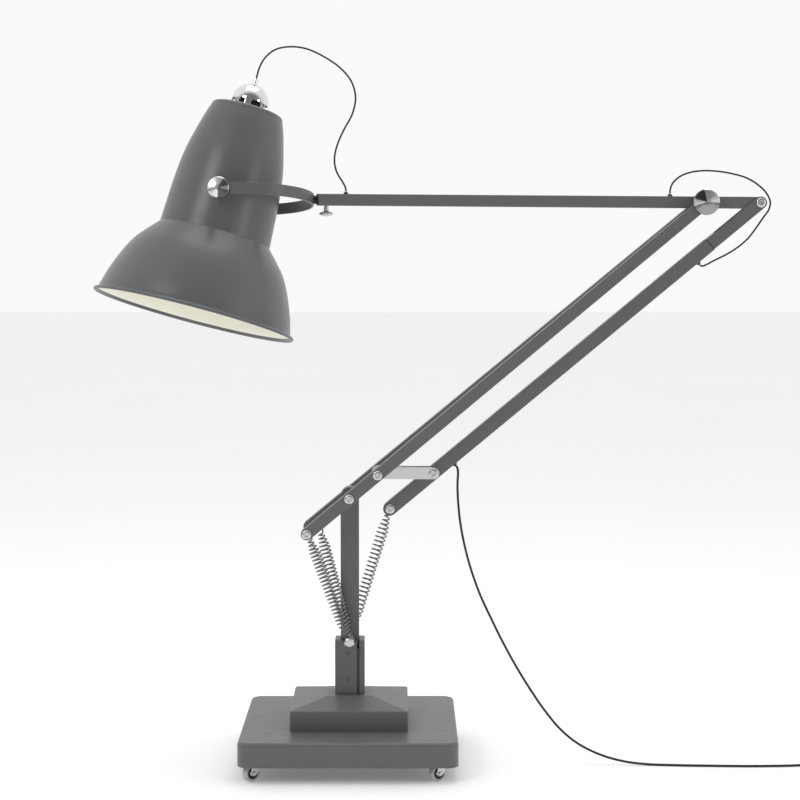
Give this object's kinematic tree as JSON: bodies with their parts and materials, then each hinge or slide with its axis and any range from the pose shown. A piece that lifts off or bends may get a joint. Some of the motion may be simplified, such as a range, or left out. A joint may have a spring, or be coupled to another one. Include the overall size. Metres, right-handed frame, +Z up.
{
  "type": "floor lamp",
  "caption": "Castored floor lamp with a sprung parallelogram arm, an upper arm with a swivelling stirrup and a large bell shade.",
  "frame": {"origin": "on the floor, under the middle of the lamp's box without its loose cords", "axes": "+Z up, +X along the arms from the shade towards the elbow, +Y from front to back across the arms"},
  "size_m": [1.6255, 0.4706, 1.5057],
  "materials": {
    "base_paint": "semi-gloss slate grey paint on steel",
    "arm_paint": "semi-gloss slate grey paint on aluminium",
    "shade_paint": "semi-gloss slate grey paint on spun aluminium, cream inside",
    "stirrup_paint": "semi-gloss slate grey paint on steel strip",
    "cast_iron": "rough casting",
    "screw_steel": "turned and polished",
    "castor_steel": "pressed zinc-plated steel",
    "link_metal": "brushed along its length",
    "chrome": "polished",
    "spring_chrome": "bright plated wire",
    "black_plastic": "moulded",
    "cord_black": "smooth round flex",
    "castor_tyre": "moulded grey tyre",
    "porcelain": "glazed",
    "bulb_glass": "pearl"
  },
  "bodies": {
    "base": {"base_cover": "base_paint", "base_plinth": "base_paint", "ballast": "cast_iron", "column_socket": "base_paint", "socket_plate": "base_paint", "socket_screw_1": "base_paint", "socket_screw_2": "base_paint", "column": "base_paint", "anchor_pin": "screw_steel", "main_pivot_bolt": "screw_steel", "spring_near": "spring_chrome", "spring_inner": "spring_chrome", "spring_rear": "spring_chrome", "mains_cord": "cord_black", "mains_coil": "cord_black", "cord_tie": "black_plastic", "mains_plug": "black_plastic"},
    "main_arm": {"arm_tube_near": "arm_paint", "arm_tube_far": "arm_paint", "low_end_pin": "screw_steel", "inner_spring_peg": "screw_steel", "link_pin": "screw_steel", "elbow_bolt": "screw_steel"},
    "elbow_knob": {"elbow_knob": "screw_steel"},
    "link": {"link_plate_near": "link_metal", "link_plate_far": "link_metal", "link_end_pin": "screw_steel"},
    "second_bar": {"second_bar": "arm_paint", "second_bar_pin": "screw_steel", "mains_grommet": "black_plastic", "loop_grommet_low": "black_plastic"},
    "bar_fork": {"bar_fork": "arm_paint", "tail_pin": "screw_steel"},
    "upper_arm": {"upper_arm": "arm_paint", "arm_end_plug": "black_plastic", "loop_grommet_high": "black_plastic", "head_cord_grommet": "black_plastic", "elbow_cord": "cord_black", "head_cord": "cord_black"},
    "thumbscrew": {"thumbscrew": "screw_steel"},
    "stirrup": {"stirrup": "stirrup_paint", "swivel_stub": "black_plastic"},
    "shade": {"shade": "shade_paint", "bell": "shade_paint", "cap_collar": "black_plastic", "cap_dome": "chrome", "lampholder": "porcelain", "bulb": "bulb_glass", "shade_boss_near": "screw_steel", "shade_boss_far": "screw_steel"},
    "shade_knob_near": {"shade_knob_near": "screw_steel"},
    "shade_knob_far": {"shade_knob_far": "screw_steel"},
    "castor_1": {"castor_fork_1": "castor_steel"},
    "wheel_1": {"castor_wheel_1": "castor_tyre"},
    "castor_2": {"castor_fork_2": "castor_steel"},
    "wheel_2": {"castor_wheel_2": "castor_tyre"},
    "castor_3": {"castor_fork_3": "castor_steel"},
    "wheel_3": {"castor_wheel_3": "castor_tyre"},
    "castor_4": {"castor_fork_4": "castor_steel"},
    "wheel_4": {"castor_wheel_4": "castor_tyre"}
  },
  "joints": [
    {"name": "main_arm_hinge", "type": "hinge", "parent": "base", "child": "main_arm", "pos_m": [-0.17024, 0.01034, 0.562], "axis": [0, 1, 0], "range_deg": [-33, 14], "deforming": ["spring_near", "spring_inner", "spring_rear"]},
    {"name": "elbow_hinge", "type": "hinge", "parent": "main_arm", "child": "upper_arm", "pos_m": [0.57072, 0.01034, 1.17803], "axis": [0, 1, 0], "range_deg": [-12, 35], "deforming": ["elbow_cord", "mains_cord"]},
    {"name": "link_hinge", "type": "hinge", "parent": "main_arm", "child": "link", "pos_m": [-0.11103, 0.01034, 0.61123], "axis": [0, 1, 0], "range_deg": [-12, 35]},
    {"name": "second_bar_hinge", "type": "hinge", "parent": "link", "child": "second_bar", "pos_m": [0.00596, 0.01034, 0.61041], "axis": [0, 1, 0], "range_deg": [-35, 12]},
    {"name": "tail_hinge", "type": "hinge", "parent": "upper_arm", "child": "bar_fork", "pos_m": [0.68772, 0.01034, 1.17722], "axis": [0, 1, 0], "range_deg": [-35, 12]},
    {"name": "stirrup_roll", "type": "hinge", "parent": "upper_arm", "child": "stirrup", "pos_m": [0.57072, 0.01034, 1.17803], "axis": [1, 0, -0.007], "range_deg": [-35, 55], "deforming": ["head_cord"]},
    {"name": "shade_tilt", "type": "hinge", "parent": "stirrup", "child": "shade", "pos_m": [-0.43125, 0.01034, 1.18503], "axis": [-0.001, 0.9903, -0.1392], "range_deg": [-40, 42]},
    {"name": "elbow_knob_turn", "type": "hinge", "parent": "main_arm", "child": "elbow_knob", "pos_m": [0.57072, 0.01034, 1.17803], "axis": [0, 1, 0], "range_deg": [-180, 180]},
    {"name": "thumbscrew_turn", "type": "hinge", "parent": "upper_arm", "child": "thumbscrew", "pos_m": [-0.21826, 0.01034, 1.18354], "axis": [0.007, 0, 1], "range_deg": [-180, 180]},
    {"name": "shade_knob_near_turn", "type": "hinge", "parent": "shade", "child": "shade_knob_near", "pos_m": [-0.43125, 0.01034, 1.18503], "axis": [-0.001, 0.9903, -0.1392], "range_deg": [-180, 180]},
    {"name": "shade_knob_far_turn", "type": "hinge", "parent": "shade", "child": "shade_knob_far", "pos_m": [-0.43125, 0.01034, 1.18503], "axis": [-0.001, 0.9903, -0.1392], "range_deg": [-180, 180]},
    {"name": "castor_swivel_1", "type": "hinge", "parent": "base", "child": "castor_1", "pos_m": [-0.36024, -0.17966, 0], "axis": [0, 0, 1], "continuous": true},
    {"name": "wheel_spin_1", "type": "hinge", "parent": "castor_1", "child": "wheel_1", "pos_m": [-0.3679, -0.18609, 0.018], "axis": [0.6428, -0.766, 0], "continuous": true},
    {"name": "castor_swivel_2", "type": "hinge", "parent": "base", "child": "castor_2", "pos_m": [0.01976, -0.17966, 0], "axis": [0, 0, 1], "continuous": true},
    {"name": "wheel_spin_2", "type": "hinge", "parent": "castor_2", "child": "wheel_2", "pos_m": [0.01147, -0.18525, 0.018], "axis": [0.5592, -0.829, 0], "continuous": true},
    {"name": "castor_swivel_3", "type": "hinge", "parent": "base", "child": "castor_3", "pos_m": [0.01976, 0.20034, 0], "axis": [0, 0, 1], "continuous": true},
    {"name": "wheel_spin_3", "type": "hinge", "parent": "castor_3", "child": "wheel_3", "pos_m": [0.01147, 0.20593, 0.018], "axis": [-0.5592, -0.829, 0], "continuous": true},
    {"name": "castor_swivel_4", "type": "hinge", "parent": "base", "child": "castor_4", "pos_m": [-0.36024, 0.20034, 0], "axis": [0, 0, 1], "continuous": true},
    {"name": "wheel_spin_4", "type": "hinge", "parent": "castor_4", "child": "wheel_4", "pos_m": [-0.35141, 0.20503, 0.018], "axis": [-0.4695, 0.8829, 0], "continuous": true}
  ],
  "couplings": [
    {"joint": "link_hinge", "follows": "elbow_hinge", "ratio": 1},
    {"joint": "second_bar_hinge", "follows": "elbow_hinge", "ratio": -1},
    {"joint": "tail_hinge", "follows": "elbow_hinge", "ratio": -1}
  ]
}
